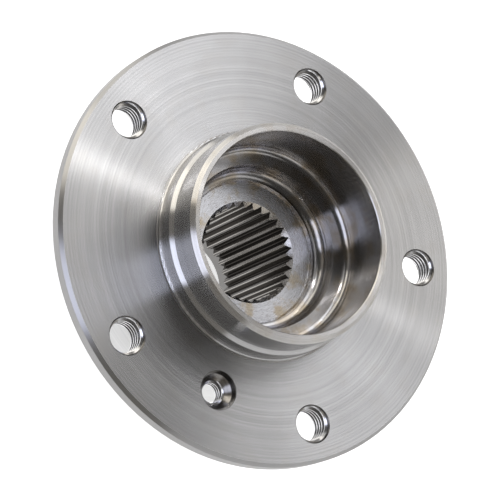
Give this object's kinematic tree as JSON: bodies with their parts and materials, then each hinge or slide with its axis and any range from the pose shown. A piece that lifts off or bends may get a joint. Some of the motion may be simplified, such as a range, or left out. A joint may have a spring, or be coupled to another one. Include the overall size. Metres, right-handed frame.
{
  "type": "wheel hub",
  "caption": "Round steel wheel hub flange with tapped wheel-bolt holes, a two-step spigot and a splined bore, pressed into a sealed double-row wheel bearing that it spins in.",
  "frame": {"origin": "centre of the flange face that the brake disc and the wheel are clamped to", "axes": "+Z along the axis of rotation, outboard towards the wheel; +X through one wheel-bolt hole"},
  "size_m": [0.145, 0.145, 0.0805],
  "materials": {
    "turned_steel": "face-turned, fine concentric lathe lines",
    "ground_steel": "ground, satin",
    "ball_steel": "mirror-polished",
    "cage_polyamide": "moulded, glass-filled",
    "seal_steel": "pressed sheet, dull",
    "seal_rubber": "moulded"
  },
  "bodies": {
    "bearing_outer": {"bearing_outer_ring": "ground_steel", "seal_case_outboard": "seal_steel", "seal_case_inboard": "seal_steel", "seal_lip_outboard": "seal_rubber", "seal_lip_inboard": "seal_rubber"},
    "hub": {"hub_flange": "turned_steel", "inner_ring_outboard": "ground_steel", "inner_ring_inboard": "ground_steel", "slinger_outboard": "seal_steel", "slinger_inboard": "seal_steel"},
    "ball_row_outboard": {"cage_outboard": "cage_polyamide", "balls_outboard": "ball_steel"},
    "ball_row_inboard": {"cage_inboard": "cage_polyamide", "balls_inboard": "ball_steel"}
  },
  "joints": [
    {"name": "hub_spin", "type": "hinge", "parent": "bearing_outer", "child": "hub", "pos_m": [0, 0, -0.037], "axis": [0, 0, 1], "continuous": true},
    {"name": "ball_row_outboard_spin", "type": "hinge", "parent": "bearing_outer", "child": "ball_row_outboard", "pos_m": [0, 0, -0.0258], "axis": [0, 0, 1], "continuous": true},
    {"name": "ball_row_inboard_spin", "type": "hinge", "parent": "bearing_outer", "child": "ball_row_inboard", "pos_m": [0, 0, -0.0482], "axis": [0, 0, 1], "continuous": true}
  ],
  "couplings": [
    {"joint": "ball_row_outboard_spin", "follows": "hub_spin", "ratio": 0.427},
    {"joint": "ball_row_inboard_spin", "follows": "hub_spin", "ratio": 0.427}
  ]
}
